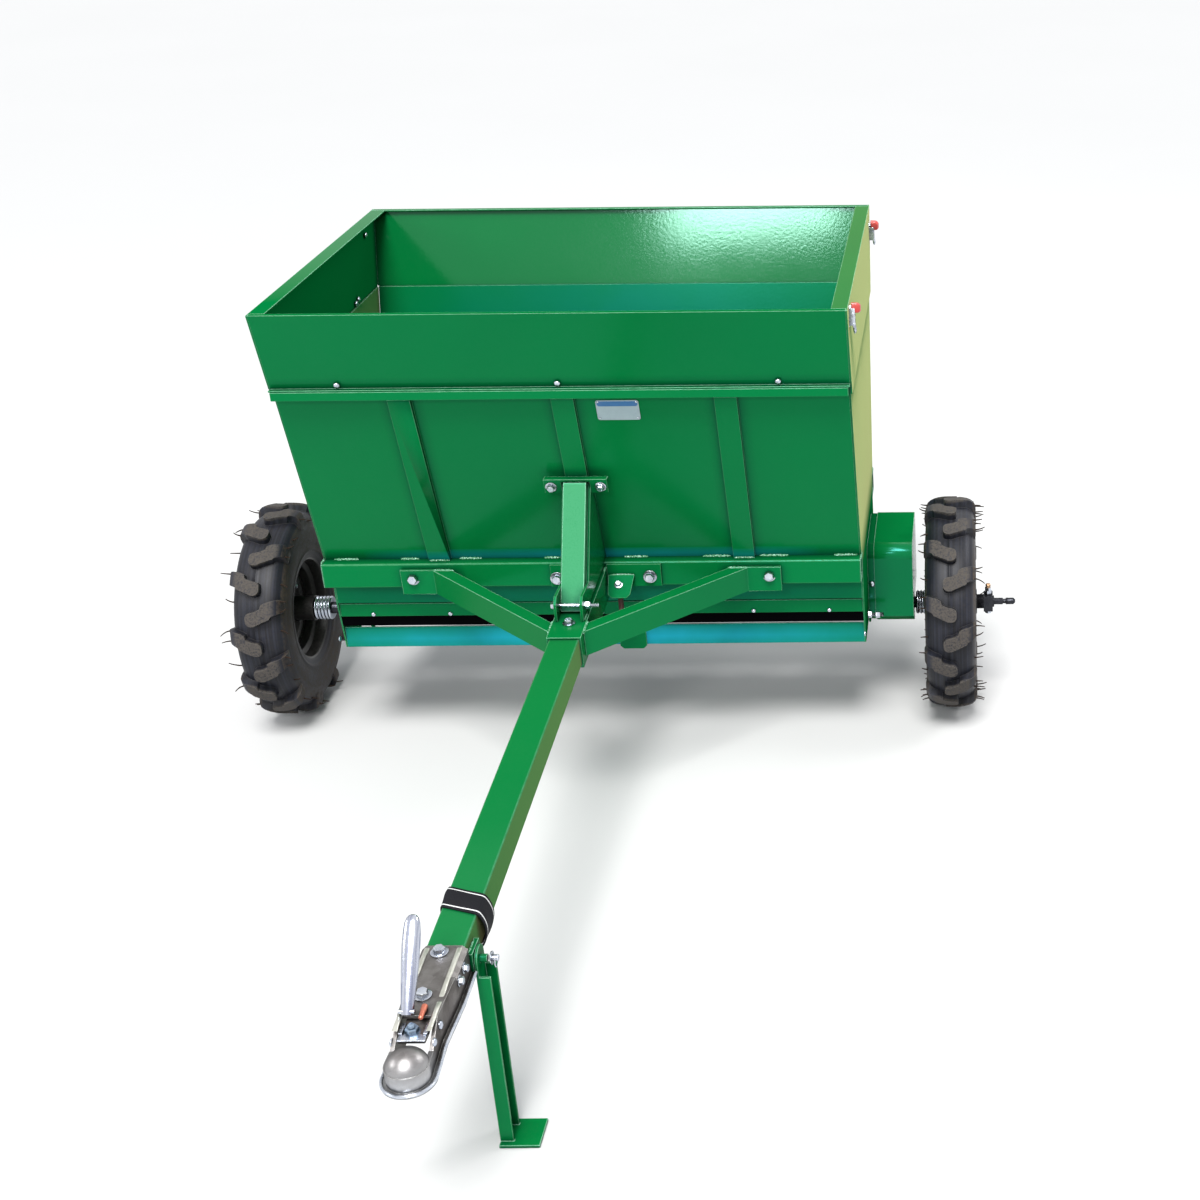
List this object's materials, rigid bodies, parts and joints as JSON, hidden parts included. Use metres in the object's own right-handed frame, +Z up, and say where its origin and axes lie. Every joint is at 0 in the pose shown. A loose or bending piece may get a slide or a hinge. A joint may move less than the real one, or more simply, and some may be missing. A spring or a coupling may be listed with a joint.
{
  "type": "towed salt spreader",
  "caption": "Towed salt spreader for a quad bike: open sheet-steel hopper with extension boards, ground-driven feed rotor, lugged tyres, drawbar, ball coupler and parking leg.",
  "frame": {"origin": "middle of the machine's bounding box, on the floor", "axes": "+Z up, -Y towards the ball coupler, +X towards the driven wheel with the chain case"},
  "size_m": [1.588, 2.0362, 0.964],
  "materials": {
    "green_paint": "gloss enamel",
    "black_steel": "satin black",
    "zinc_plate": "bright zinc",
    "plain_steel": "bare steel",
    "tyre_rubber": "moulded rubber",
    "apron_rubber": "moulded rubber sheet",
    "strap_webbing": "woven hook and loop"
  },
  "bodies": {
    "frame": {"adjuster_tab": "green_paint", "axle_bearing_left": "black_steel", "axle_bearing_right": "black_steel", "beam_front": "green_paint", "beam_rear": "green_paint", "brace_bracket": "green_paint", "brace_gussets": "green_paint", "brace_post": "green_paint", "centre_plate": "green_paint", "chain_case": "green_paint", "coupler_body": "zinc_plate", "coupler_handle": "zinc_plate", "drawbar_sleeve": "green_paint", "drawbar_tube": "green_paint", "extension_front": "green_paint", "extension_left": "green_paint", "extension_rear": "green_paint", "extension_right": "green_paint", "feed_aprons": "apron_rubber", "feed_skirt_front": "green_paint", "feed_skirt_rear": "green_paint", "feed_trough": "green_paint", "hopper_end_left": "green_paint", "hopper_end_right": "green_paint", "hopper_wall_front": "green_paint", "hopper_wall_rear": "green_paint", "leg_bracket": "green_paint", "lip_hanger": "green_paint", "lower_lip_front": "green_paint", "lower_lip_rear": "green_paint", "rotor_bearing_left": "black_steel", "rotor_bearing_right": "black_steel", "strut_left": "green_paint", "strut_right": "green_paint", "tie_strap": "strap_webbing", "upper_lip_front": "green_paint", "upper_lip_rear": "green_paint"},
    "drive_wheel": {"axle_shaft": "black_steel", "axle_spacers": "zinc_plate", "rim_right": "black_steel", "tyre_right": "tyre_rubber", "wheel_lock": "black_steel"},
    "idle_wheel": {"tyre_left": "tyre_rubber", "rim_left": "black_steel"},
    "rotor": {"feed_rotor": "plain_steel"},
    "leg": {"parking_leg": "green_paint"}
  },
  "joints": [
    {"name": "drive_wheel_spin", "type": "hinge", "parent": "frame", "child": "drive_wheel", "pos_m": [-0.028, 0.63008, 0.22], "axis": [1, 0, 0], "continuous": true},
    {"name": "idle_wheel_spin", "type": "hinge", "parent": "frame", "child": "idle_wheel", "pos_m": [-0.717, 0.63008, 0.22], "axis": [1, 0, 0], "continuous": true},
    {"name": "rotor_spin", "type": "hinge", "parent": "frame", "child": "rotor", "pos_m": [-0.028, 0.63008, 0.33], "axis": [1, 0, 0], "continuous": true},
    {"name": "parking_leg_fold", "type": "hinge", "parent": "frame", "child": "leg", "pos_m": [0.008, -0.74492, 0.31791], "axis": [1, 0, 0], "range_deg": [0, 93]}
  ],
  "couplings": [
    {"joint": "rotor_spin", "follows": "drive_wheel_spin", "ratio": 1}
  ]
}
